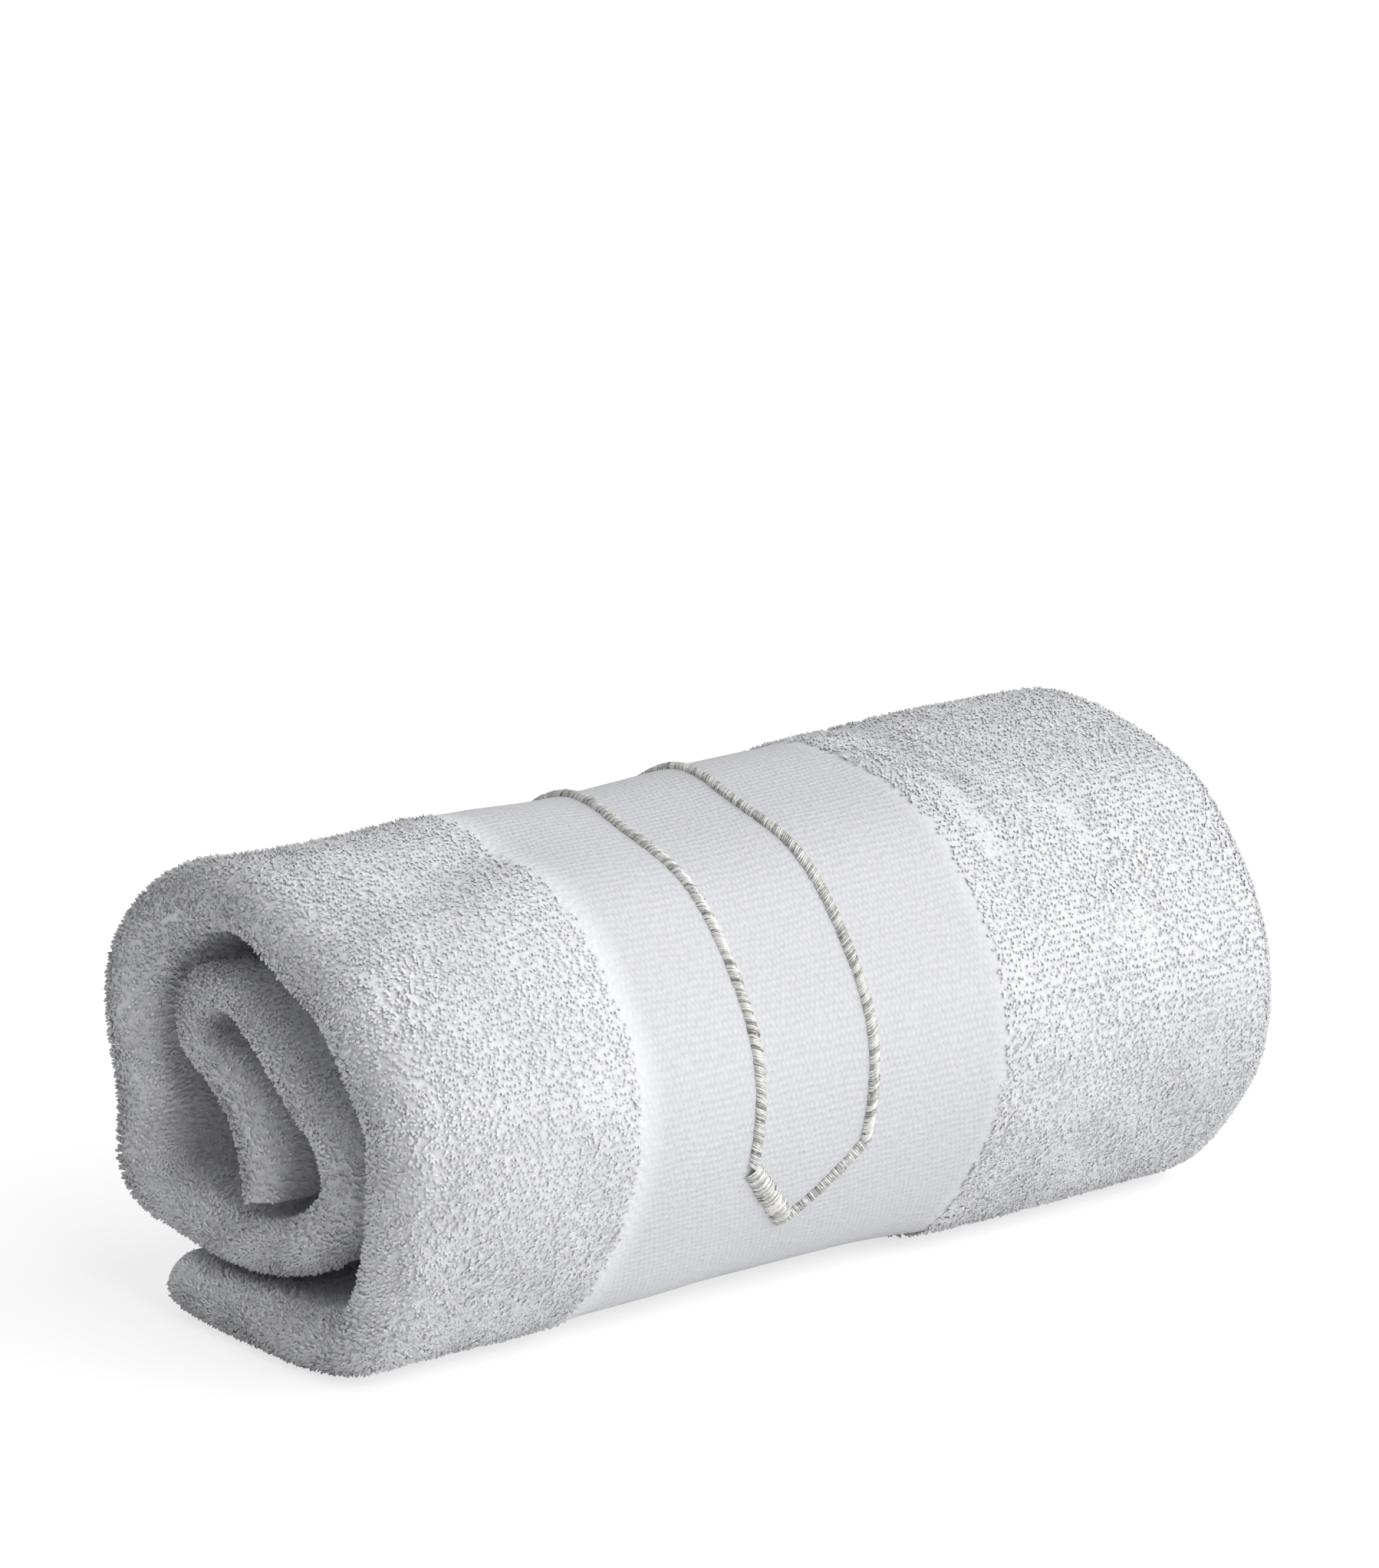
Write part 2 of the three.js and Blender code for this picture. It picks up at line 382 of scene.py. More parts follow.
    def in_space(self, along: np.ndarray, out: np.ndarray, run: np.ndarray) -> np.ndarray:
        """Points in space, in millimetres, of places on the wound strip."""
        middle, outward, _, _, lean = self.station(run)
        shifted = out - lean * self.lean_at(along) + self.relief(along, run)
        place = middle + shifted[:, None] * outward
        table = np.array([(g.along, g.share) for g in GIRTHS])
        share = monotone(along, table[:, 0], table[:, 1])
        across = self.pivot_across + (place[:, 0] - self.pivot_across) * share
        return np.stack([along, across, place[:, 1] * share - self.press], 1)

    def point(self, column: np.ndarray, run: np.ndarray) -> np.ndarray:
        """Points of the cloth's middle face."""
        _, _, thick, inset, _ = self.station(run)
        along, out = self.profile(column, thick, inset)
        return self.in_space(along, out, run)

    def frame(self, column: np.ndarray, run: np.ndarray) -> tuple[np.ndarray, ...]:
        """Points of the cloth with their face direction and the direction along the cloth."""
        step, reach = 0.003, 0.4
        low, high = np.maximum(column - step, 0), np.minimum(column + step, len(Part) - 1e-6)
        lengthwise = unit(self.point(high, run) - self.point(low, run))
        down = np.maximum(run - reach, 0), np.minimum(run + reach, self.run_length)
        crosswise = self.point(column, down[1]) - self.point(column, down[0])
        facing = unit(np.cross(crosswise, lengthwise))
        return self.point(column, run), facing, lengthwise

    def along_to_column(self, along: np.ndarray) -> np.ndarray:
        """Columns on the outer panel of places along the roll that don't move with the near fold."""
        return (self.far_end - along) / (self.far_end - self.kept_to) * self.kept_share

    def flat_at(self, column: np.ndarray) -> np.ndarray:
        """Distance of columns from the outer hem, on the flat cloth."""
        return np.interp(column, self.fine_columns, self.fine_lengths)

    def from_hem(self, column: np.ndarray) -> np.ndarray:
        """Distance of columns from the nearer hem, on the flat cloth."""
        flat = self.flat_at(column)
        return np.minimum(flat, self.fine_lengths[-1] - flat)

    def from_selvedge(self, run: np.ndarray) -> np.ndarray:
        """Distance of places down the strip from its nearer end."""
        return np.minimum(run, self.run_length - run)

    def woven(self, column: np.ndarray) -> np.ndarray:
        """One where the cloth is the flat woven border and zero where it is terry."""
        low, high = self.border_from_hem
        off = self.from_hem(column)
        return ((off > low) & (off < high)).astype(float)


@dataclass(frozen=True)
class Cotton:
    """White cotton: its colour and how dull and soft it is."""

    colour: tuple[float, float, float] = (0.965, 0.97, 0.99)
    shade: tuple[float, float, float] = (0.925, 0.93, 0.955)
    woven: tuple[float, float, float] = (0.74, 0.742, 0.775)
    # woven_shade is the painted shade in the dips of the border's weave
    woven_shade: tuple[float, float, float] = (0.62, 0.622, 0.65)
    roughness: float = 0.95
    sheen: float = 0.35
    fine_tone: float = 0.35
    cloud_tone: float = 0.30
    cloud_scale: float = 45.0
    fibre_depth: float = 0.0003
    loop_fibre: tuple[float, float] = (2600.0, 0.06)
    ground_fibre: tuple[float, float] = (1500.0, 0.25)
    # painted shade between the loops: the terry ground is darker than the loops
    painted_ground_shade_level: float = 0.45
    # painted shade of the loops: their level at the roots, and how much lighter the tips are
    root_painted_shade_level: float = 0.30
    painted_root_shade_span: float = 0.35
    loop_tone: float = 0.35
    weave_rows: float = 700.0
    weave_picks: float = 820.0
    knot_scale: float = 760.0
    knot_depth: float = 1.3
    bump_strength: float = 0.55
    bump_depth: float = 0.0004

    def shared_group(self) -> bpy.types.NodeTree:
        """Node group of fine cotton fibre: a tone for each point and a soft bump.

        Returns:
            The group, with inputs Scale, Strength and Tone and outputs Shade and Normal.
        """
        known = bpy.data.node_groups.get("cotton_fibre")
        if known:
            return known
        tree = bpy.data.node_groups.new("cotton_fibre", "ShaderNodeTree")
        for name, value in (("Scale", 1200.0), ("Strength", 0.3), ("Tone", 0.5)):
            socket = tree.interface.new_socket(name, in_out="INPUT", socket_type="NodeSocketFloat")
            socket.default_value = value
        tree.interface.new_socket("Shade", in_out="OUTPUT", socket_type="NodeSocketFloat")
        tree.interface.new_socket("Normal", in_out="OUTPUT", socket_type="NodeSocketVector")
        build = Nodes(tree)
        given, result = build.add("NodeGroupInput"), build.add("NodeGroupOutput")
        place = build.add("ShaderNodeTexCoord")
        fibre = build.add("ShaderNodeTexNoise", Detail=3.0, Roughness=0.6)
        cloud = build.add("ShaderNodeTexNoise", Scale=self.cloud_scale, Detail=2.0)
        build.link(place, "Object", fibre, "Vector")
        build.link(place, "Object", cloud, "Vector")
        build.link(given, "Scale", fibre, "Scale")
        fine = build.math("MULTIPLY_ADD", (fibre, "Fac"), self.fine_tone, -self.fine_tone / 2)
        wide = build.math("MULTIPLY_ADD", (cloud, "Fac"), self.cloud_tone, -self.cloud_tone / 2)
        both = build.math("ADD", fine, wide)
        shade = build.math("ADD", both, (given, "Tone"))
        bump = build.add("ShaderNodeBump", Distance=self.fibre_depth)
        build.link(given, "Strength", bump, "Strength")
        build.link(fibre, "Fac", bump, "Height")
        build.link(*shade, result, "Shade")
        build.link(bump, "Normal", result, "Normal")
        return tree

    def loops(self) -> bpy.types.Material:
        """Terry loops: paler at their tips and a little darker towards the ground, which is painted shade.

        Returns:
            The material, which reads the attributes rise and tone.
        """
        material, build, shader = surface("white_terry_loops", self.roughness, self.sheen)
        rise = build.add("ShaderNodeAttribute", attribute_name="rise")
        tone = build.add("ShaderNodeAttribute", attribute_name="tone")
        scale, strength = self.loop_fibre
        group = build.add("ShaderNodeGroup", node_tree=self.shared_group(), Scale=scale, Strength=strength)
        # painted shade: the loops darken from their tips towards their roots
        tip = build.math("MULTIPLY_ADD", (rise, "Fac"), self.painted_root_shade_span, self.root_painted_shade_level)
        level = build.math("MULTIPLY_ADD", (tone, "Fac"), self.loop_tone, tip)
        build.link(*level, group, "Tone")
        mix = build.mix(self.shade, self.colour, (group, "Shade"))
        build.link(*mix, shader, "Base Color")
        build.link(group, "Normal", shader, "Normal")
        return material

    def cloth(self) -> bpy.types.Material:
        """Ground cloth with its woven border, and painted shade: the terry ground is darker than the loops
        on it, and the border is darker in its weave's dips.

        Returns:
            The material, which reads the UV map and the attribute woven.
        """
        material, build, shader = surface("white_ground_weave", self.roughness, self.sheen)
        mask = build.add("ShaderNodeAttribute", attribute_name="woven")
        scale, strength = self.ground_fibre
        group = build.add("ShaderNodeGroup", node_tree=self.shared_group(), Scale=scale, Strength=strength)
        group.inputs["Tone"].default_value = self.painted_ground_shade_level
        weave = build.add("ShaderNodeGroup", node_tree=weave_group())
        weave.inputs["Rows"].default_value = self.weave_rows
        weave.inputs["Picks"].default_value = self.weave_picks
        place = build.add("ShaderNodeTexCoord")
        knots = build.add("ShaderNodeTexVoronoi", Scale=self.knot_scale)
        build.link(place, "Object", knots, "Vector")
        pile = build.math("MULTIPLY_ADD", (knots, "Distance"), -self.knot_depth, 1.0)
        relief = build.add("ShaderNodeMix", data_type="FLOAT")
        build.link(mask, "Fac", relief, "Factor")
        build.link(*pile, relief, "A")
        build.link(weave, "Height", relief, "B")
        bump = build.add("ShaderNodeBump", Strength=self.bump_strength, Distance=self.bump_depth)
        build.link(relief, "Result", bump, "Height")
        build.link(group, "Normal", bump, "Normal")
        # painted shade: the terry ground between the loops is darker than the loops
        ground = build.mix(self.woven, self.shade, (group, "Shade"))
        # painted shade: the border is darker in the weave's dips
        band = build.mix(self.woven_shade, self.woven, (weave, "Height"))
        blend = build.add("ShaderNodeMix", data_type="RGBA")
        build.link(mask, "Fac", blend, "Factor")
        self.tree_link(build, ground, blend, 6)
        self.tree_link(build, band, blend, 7)
        build.tree.links.new(blend.outputs[2], shader.inputs["Base Color"])
        build.link(bump, "Normal", shader, "Normal")
        return material

    @staticmethod
    def tree_link(build: Nodes, source: tuple, target: bpy.types.Node, entry: int) -> None:
        """Links an output to an input that is known by its number."""
        build.tree.links.new(source[0].outputs[source[1]], target.inputs[entry])


@dataclass(frozen=True)
class SilverThread:
    """Lustrous silver-grey embroidery thread."""

    # ends of the thread's colour; a random tone for each stitch and painted glints and painted shade spread
    # it between them
    bright: tuple[float, float, float] = (0.93, 0.92, 0.88)
    dark: tuple[float, float, float] = (0.16, 0.155, 0.145)
    roughness: float = 0.30
    metallic: float = 0.25
    painted_glint_scale: float = 1800.0
    painted_glint: float = 1.3
    painted_shade_offset: float = 0.35

    def material(self) -> bpy.types.Material:
        """Metallic thread whose stitches differ a little in tone, with painted glints and painted shade
        from fine noise in its colour.

        Returns:
            The material, which reads the attribute tone.
        """
        material, build, shader = surface("silver_satin_thread", self.roughness, 0.0)
        shader.inputs["Metallic"].default_value = self.metallic
        tone = build.add("ShaderNodeAttribute", attribute_name="tone")
        place = build.add("ShaderNodeTexCoord")
        painted_glint = build.add("ShaderNodeTexNoise", Scale=self.painted_glint_scale, Detail=2.0)
        build.link(place, "Object", painted_glint, "Vector")
        # painted glints and painted shade: fine noise spreads the colour from near black to near white
        spread = build.math("MULTIPLY_ADD", (painted_glint, "Fac"), self.painted_glint, -self.painted_shade_offset)
        level = build.math("ADD", (tone, "Fac"), spread)
        mix = build.mix(self.dark, self.bright, level)
        build.link(*mix, shader, "Base Color")
        return material


class Nodes:
    """Short hand for building a node tree."""

    def __init__(self, tree: bpy.types.NodeTree) -> None:
        """Keeps the tree."""
        self.tree = tree

    def add(self, kind: str, **values: object) -> bpy.types.Node:
        """Adds a node and sets its properties and input values.

        Args:
            kind: The node's type name.
            **values: Properties by their own names, and inputs by theirs.

        Returns:
            The node.
        """
        node = self.tree.nodes.new(kind)
        for name, value in values.items():
            if hasattr(node, name):
                setattr(node, name, value)
            else:
                node.inputs[name].default_value = value
        return node

    def link(self, source: bpy.types.Node, output: str, target: bpy.types.Node, entry: str) -> None:
        """Links an output to an input, both by name."""
        self.tree.links.new(source.outputs[output], target.inputs[entry])

    def math(self, operation: str, *operands: object) -> tuple[bpy.types.Node, str]:
        """Adds a maths node.

        Args:
            operation: Its operation.
            *operands: Numbers, or a node and the name of its output.

        Returns:
            The node and the name of its output.
        """
        node = self.add("ShaderNodeMath", operation=operation)
        for entry, operand in zip(node.inputs, operands):
            if isinstance(operand, tuple):
                self.tree.links.new(operand[0].outputs[operand[1]], entry)
            else:
                entry.default_value = operand
        return node, "Value"

    def mix(self, low: tuple, high: tuple, share: tuple[bpy.types.Node, str]) -> tuple[bpy.types.Node, str]:
        """Adds a blend between two colours by a linked share, and gives it with its output's name."""
        node = self.add("ShaderNodeValToRGB")
        node.color_ramp.elements[0].color = (*low, 1)
        node.color_ramp.elements[1].color = (*high, 1)
        self.tree.links.new(share[0].outputs[share[1]], node.inputs["Fac"])
        return node, "Color"


def surface(name: str, roughness: float, sheen: float) -> tuple[bpy.types.Material, Nodes, bpy.types.Node]:
    """New material with a Principled shader.

    Args:
        name: The material's name.
        roughness: The shader's roughness.
        sheen: Its sheen weight.

    Returns:
        The material, its nodes and its shader.
    """
    material = bpy.data.materials.new(name)
    material.use_nodes = True
    shader = material.node_tree.nodes["Principled BSDF"]
    shader.inputs["Roughness"].default_value = roughness
    shader.inputs["Sheen Weight"].default_value = sheen
    shader.inputs["Sheen Roughness"].default_value = 0.5
    return material, Nodes(material.node_tree), shader


def weave_group() -> bpy.types.NodeTree:
    """Node group of the border's fine weave, as raised dots in rows.

    Returns:
        The group, with inputs Rows and Picks, in waves for each metre, and the output Height.
    """
    known = bpy.data.node_groups.get("border_weave")
    if known:
        return known
    tree = bpy.data.node_groups.new("border_weave", "ShaderNodeTree")
    for name in ("Rows", "Picks"):
        tree.interface.new_socket(name, in_out="INPUT", socket_type="NodeSocketFloat")
    tree.interface.new_socket("Height", in_out="OUTPUT", socket_type="NodeSocketFloat")
    build = Nodes(tree)
    given, result = build.add("NodeGroupInput"), build.add("NodeGroupOutput")
    uv = build.add("ShaderNodeUVMap", uv_map="flat_cloth")
    split = build.add("ShaderNodeSeparateXYZ")
    build.link(uv, "UV", split, "Vector")
    place = build.add("ShaderNodeTexCoord")
    wander = build.add("ShaderNodeTexNoise", Scale=170.0, Detail=1.0)
    uneven = build.add("ShaderNodeTexNoise", Scale=900.0, Detail=1.0)
    build.link(place, "Object", wander, "Vector")
    build.link(place, "Object", uneven, "Vector")
    turn = 2 * math.pi
    row = build.math("MULTIPLY_ADD", (split, "Y"), (given, "Rows"), (wander, "Fac"))
    pick = build.math("MULTIPLY_ADD", (split, "X"), (given, "Picks"), (wander, "Fac"))
    step = build.math("FLOOR", row)
    stagger = build.math("MULTIPLY_ADD", step, 0.5, pick)
    across = build.math("COSINE", build.math("MULTIPLY", row, turn))
    along = build.math("SINE", build.math("MULTIPLY", stagger, turn))
    dots = build.math("MULTIPLY", along, 0.16)
    ribs = build.math("MULTIPLY_ADD", across, -0.16, dots)
    lifted = build.math("ADD", ribs, (uneven, "Fac"))
    build.link(*lifted, result, "Height")
    return tree


def mesh_object(name: str, mesh: bpy.types.Mesh, material: bpy.types.Material) -> bpy.types.Object:
    """Object at the origin that shows the mesh in that material, smooth shaded."""
    mesh.polygons.foreach_set("use_smooth", np.ones(len(mesh.polygons), bool))
    mesh.materials.append(material)
    made = bpy.data.objects.new(name, mesh)
    bpy.context.scene.collection.objects.link(made)
    return made


def joined_copies(
    name: str, unit_mesh: tuple[np.ndarray, list[list[int]]], copies: np.ndarray
) -> bpy.types.Mesh:
    """One mesh of many copies of a small form.

    Args:
        name: The mesh's name.
        unit_mesh: The form's vertices and faces; every face has as many corners as the first.
        copies: The vertices of each copy, in metres.

    Returns:
        The joined mesh.
    """
    vertices, faces = unit_mesh
    corners = np.array([corner for face in faces for corner in face])
    sizes = np.array([len(face) for face in faces])
    count = len(copies)
    every = (corners[None, :] + np.arange(count)[:, None] * len(vertices)).ravel()
    totals = np.tile(sizes, count)
    mesh = bpy.data.meshes.new(name)
    mesh.vertices.add(count * len(vertices))
    mesh.vertices.foreach_set("co", copies.astype(np.float32).ravel())
    mesh.loops.add(len(every))
    mesh.loops.foreach_set("vertex_index", every.astype(np.int32))
    mesh.polygons.add(len(totals))
    starts = np.concatenate([[0], np.cumsum(totals)[:-1]])
    mesh.polygons.foreach_set("loop_start", starts.astype(np.int32))
    mesh.update(calc_edges=True)
    return mesh


def paint(mesh: bpy.types.Mesh, name: str, values: np.ndarray) -> None:
    """Writes one number for each vertex as an attribute."""
    layer = mesh.attributes.new(name, "FLOAT", "POINT")
    layer.data.foreach_set("value", values.astype(np.float32).ravel())


@dataclass
class ClothSheet:
    """The towel's sheet: ground cloth with its woven border and its turned hems."""

    cloth: RolledCloth
    finish: Cotton
    thickness: float = 1.6
    border_thickness: float = 0.9
    hem_thickness: float = 2.2
    selvedge_width: float = 3.0
    station_length: float = 4.3
    station_turn: float = math.radians(8.5)
    panel_step: float = 6.0
    edge_step: float = 0.5
    free_columns: int = 13

    def columns(self) -> np.ndarray:
        """Columns of the grid: even on the panels, close at the border's edges and round the folds."""
        cloth = self.cloth
        even = np.arange(cloth.far_end, cloth.kept_to + 1, -self.panel_step)
        edges = [
            cloth.far_end - off + shift
            for off in (*cloth.border_from_hem, cloth.hem_width)
            for shift in (-self.edge_step, self.edge_step)
        ]
        outer = cloth.along_to_column(np.array([*even, *edges]))
        free = np.linspace(cloth.kept_share, 1, self.free_columns)
        parts = {
            Part.NEAR_FOLD: 12,
            Part.SECOND: 22,
            Part.FAR_FOLD: 8,
            Part.THIRD: 18,
            Part.INNER_FOLD: 8,
            Part.INNER: 20,
        }
        rest = [part + np.arange(count) / count for part, count in parts.items()]
        hem = len(Part) - cloth.hem_width / cloth.length
        rest.append([hem, len(Part) - 1e-6])
        return np.unique(np.concatenate([outer, free[:-1], *rest]).round(6))

    def rows(self) -> np.ndarray:
        """Places down the strip, closer where it turns."""
        cost = self.cloth.runs / self.station_length + self.cloth.turning / self.station_turn
        wanted = np.linspace(0, cost[-1], int(cost[-1]) + 1)
        return np.interp(wanted, cost, self.cloth.runs)

    def build(self) -> bpy.types.Object:
        """Maps a flat grid to the rolled cloth and gives it its thickness.

        Returns:
            The sheet's object.
        """
        columns, rows = self.columns(), self.rows()
        bm = bmesh.new()
        bmesh.ops.create_grid(bm, x_segments=len(columns) - 1, y_segments=len(rows) - 1, size=0.5)
        flat = np.array([vertex.co[:2] for vertex in bm.verts]) + 0.5
        column = columns[np.round(flat[:, 0] * (len(columns) - 1)).astype(int)]
        run = rows[np.round(flat[:, 1] * (len(rows) - 1)).astype(int)]
        place = self.cloth.point(column, run) * MM
        for vertex, spot in zip(bm.verts, place):
            vertex.co = spot
        uv = bm.loops.layers.uv.new("flat_cloth")
        spot = {v: (c * MM, r * MM) for v, c, r in zip(bm.verts, self.cloth.flat_at(column), run)}
        for face in bm.faces:
            for loop in face.loops:
                loop[uv].uv = spot[loop.vert]
        mesh = bpy.data.meshes.new("towel_cloth")
        bm.to_mesh(mesh)
        bm.free()
        paint(mesh, "woven", self.cloth.woven(column))
        made = mesh_object("towel_cloth", mesh, self.finish.cloth())
        self.thicken(made, column, run)
        return made

    def thicken(self, sheet: bpy.types.Object, column: np.ndarray, run: np.ndarray) -> None:
        """Gives the sheet its thickness: least on the border, most at the turned hems and selvedges."""
        cloth = self.cloth
        thick = np.where(cloth.woven(column) > 0.5, self.border_thickness, self.thickness)
        from_hem = cloth.from_hem(column) / cloth.hem_width
        hem = np.minimum(from_hem, cloth.from_selvedge(run) / self.selvedge_width)
        share = np.where(hem < 1, 1.0, thick / self.hem_thickness)
        group = sheet.vertex_groups.new(name="thickness")
        for index, weight in enumerate(share):
            group.add([index], float(weight), "REPLACE")
        solid = sheet.modifiers.new("thickness", "SOLIDIFY")
        solid.thickness = self.hem_thickness * MM
        solid.offset = 0.0
        solid.vertex_group = group.name


@dataclass(frozen=True)
class Pile:
    """The terry's loops over one stretch of the cloth, with the spacing and the form of the loops."""

    name: str
    columns: tuple[float, float]
    runs: tuple[float, float]
    pitch: float = 1.35
    steps: int = 4
    least_open: int = 2


@dataclass
class Terry:
    """All the loops of the towel that light can reach, shaded as the cloth below them faces."""

    cloth: RolledCloth
    finish: Cotton
    patches: tuple[Pile, ...]
    yarn: float = 0.34
    ring: float = 0.52
    height: float = 0.95
    open_angle: float = math.radians(70)
    root_height: float = 0.62
    nap: tuple[float, float] = (0.35, -0.3)
    nap_wave: float = 0.4
    nap_chance: float = 0.25
    nap_wavelengths: tuple[float, float] = (24.0, 20.0)
    turn_chance: float = 0.7
    turn_wave: float = 0.7
    turn_wavelength: float = 30.0
    run_jitter: float = 0.12
    flat_jitter: float = 0.2
    tall_range: tuple[float, float] = (0.8, 1.12)
    wide_range: tuple[float, float] = (0.85, 1.2)
    rim_to: float = -88.0
    rim_over: float = 18.0
    rim_tall: float = 1.6
    flare: float = 1.3
    flare_over: float = 3.5
    edge_clear: float = 0.7
    floor_clear: float = 0.12
    sight: float = 60.0
    ray_count: int = 14
    ray_spread: float = 0.92
    made: list[bpy.types.Object] = field(default_factory=list)

    def loop_form(self, steps: int) -> tuple[np.ndarray, list[list[int]]]:
        """One loop of yarn, spun from a small triangle and stretched upwards.

        Args:
            steps: Number of the loop's straight pieces.

        Returns:
            Its vertices, in millimetres with Z up from the ground, and its faces.
        """
        bm = bmesh.new()
        bmesh.ops.create_circle(bm, segments=3, radius=self.yarn)
        bmesh.ops.translate(bm, verts=bm.verts, vec=(self.ring, 0, 0))
        turn = 2 * math.pi - self.open_angle
        start = Matrix.Rotation(turn / 2 + math.pi / 2, 3, "Y")
        bmesh.ops.rotate(bm, verts=bm.verts, cent=(0, 0, 0), matrix=start)
        ring = [*bm.verts, *bm.edges]
        bmesh.ops.spin(bm, geom=ring, cent=(0, 0, 0), axis=(0, 1, 0), angle=-turn, steps=steps)
        bmesh.ops.holes_fill(bm, edges=bm.edges, sides=3)
        bmesh.ops.recalc_face_normals(bm, faces=bm.faces)
        low = min(vertex.co.z for vertex in bm.verts)
        high = max(vertex.co.z for vertex in bm.verts)
        bmesh.ops.translate(bm, verts=bm.verts, vec=(0, 0, -low))
        bmesh.ops.scale(bm, verts=bm.verts, vec=(1, 1, self.height / (high - low)))
        bm.verts.index_update()
        vertices = np.array([vertex.co[:] for vertex in bm.verts])
        faces = [[vertex.index for vertex in face.verts] for face in bm.faces]
        bm.free()
        return vertices, faces

    def roots(self, pile: Pile, dice: np.random.Generator) -> tuple[np.ndarray, np.ndarray]:
        """Columns and places down the strip of the loops, in jittered and staggered rows."""
        cloth = self.cloth
        start, end = cloth.flat_at(np.array(pile.columns))
        run = np.arange(pile.runs[0], min(pile.runs[1], cloth.run_length), pile.pitch)
        flat = np.arange(start, end, pile.pitch)
        run, flat = np.meshgrid(run, flat, indexing="ij")
        flat = flat + (np.arange(len(run)) % 2)[:, None] * pile.pitch / 2
        run = (run + dice.normal(0, self.run_jitter, run.shape) * pile.pitch).ravel()
        flat = (flat + dice.normal(0, self.flat_jitter, flat.shape) * pile.pitch).ravel()
        column = np.interp(flat, cloth.fine_lengths, cloth.fine_columns)
        keep = (cloth.woven(column) < 0.5) & (flat > start) & (flat < end)
        keep &= np.minimum(cloth.from_selvedge(run), cloth.from_hem(column)) > self.edge_clear
        return column[keep], run[keep]

    def clear_rays(self, tree: BVHTree, start: np.ndarray, facing: np.ndarray) -> np.ndarray:
        """How many of a few rays from each root get clear of the cloth.

        Args:
            tree: The cloth's faces, in millimetres.
            start: Where the rays start.
            facing: The pile's direction there.

        Returns:
            The number of clear rays for each root.
        """
        side = unit(np.cross(facing, ODD_DIRECTION))
        other = np.cross(facing, side)
        clear = np.zeros(len(start), int)
        for k in range(self.ray_count):
            tilt = math.acos(1 - (k + 0.5) / self.ray_count * self.ray_spread)
            turn = k * GOLDEN_ANGLE
            fore, aside = math.sin(tilt) * math.cos(turn), math.sin(tilt) * math.sin(turn)
            rays = fore * side + aside * other + math.cos(tilt) * facing
            hits = [tree.ray_cast(origin, ray, self.sight)[0] for origin, ray in zip(start, rays)]
            clear += [hit is None for hit in hits]
        return clear

    def lean(self, column: np.ndarray, run: np.ndarray, dice: np.random.Generator) -> np.ndarray:
        """How far the loops lean, along the cloth and down the strip, as parts of their height.

        Args:
            column: Columns of the loops.
            run: Their places down the strip.
            dice: Source of their irregularity.

        Returns:
            Two columns: the lean along the cloth and the lean down the strip.
        """
        cloth = self.cloth
        flat = np.stack([cloth.flat_at(column), run], 1)
        along = self.nap[0] + self.nap_wave * waves(21, flat, self.nap_wavelengths[0])
        along += dice.normal(0, self.nap_chance, len(run))
        down = self.nap[1] + self.nap_wave * waves(22, flat, self.nap_wavelengths[1])
        down += dice.normal(0, self.nap_chance, len(run))
        edge = np.clip(1 - cloth.from_selvedge(run) / self.flare_over, 0, 1)
        down = down * (1 - edge) + np.where(run < cloth.run_length / 2, -edge, edge) * self.flare
        hem = np.clip(1 - cloth.from_hem(column) / self.flare_over, 0, 1)
        along = along * (1 - hem) - hem * self.flare
        return np.stack([along, down], 1)

    def build(self, pile: Pile, tree: BVHTree, seed: int) -> bpy.types.Object:
        """Makes the loops of one stretch as one joined mesh.

        Args:
            pile: The stretch.
            tree: The cloth's faces, in millimetres.
            seed: Seed of the loops' irregularity.

        Returns:
            The pile's object.
        """
        dice = np.random.default_rng(seed)
        column, run = self.roots(pile, dice)
        place, facing, lengthwise = self.cloth.frame(column, run)
        clear = self.clear_rays(tree, place + facing * self.height, facing)
        keep = clear >= pile.least_open
        column, run, place, facing, lengthwise = (a[keep] for a in (column, run, place, facing, lengthwise))
        count = len(run)
        crosswise = np.cross(lengthwise, facing)
        lean = self.lean(column, run, dice)
        rise = unit(facing + lean[:, :1] * lengthwise + lean[:, 1:] * crosswise)
        flat = np.stack([self.cloth.flat_at(column), run], 1)
        turn = dice.normal(0, self.turn_chance, count)
        turn += self.turn_wave * waves(23, flat, self.turn_wavelength)
        fore = np.cos(turn)[:, None] * lengthwise + np.sin(turn)[:, None] * crosswise
        side = unit(np.cross(rise, fore))
        fore = np.cross(side, rise)
        rim = np.clip((self.rim_to - self.cloth.point(column, run)[:, 0]) / self.rim_over, 0, 1)
        tall = dice.uniform(*self.tall_range, count) * (1 + (self.rim_tall - 1) * rim)
        wide = dice.uniform(*self.wide_range, count)
        vertices, faces = self.loop_form(pile.steps)
        copies = (
            (place + facing * self.root_height)[:, None, :]
            + (vertices[None, :, 0, None] * wide[:, None, None]) * fore[:, None, :]
            + vertices[None, :, 1, None] * side[:, None, :]
            + (vertices[None, :, 2, None] * tall[:, None, None]) * rise[:, None, :]
        )
        copies[..., 2] = np.maximum(copies[..., 2], self.floor_clear)
        mesh = joined_copies(pile.name, (vertices, faces), copies * MM)
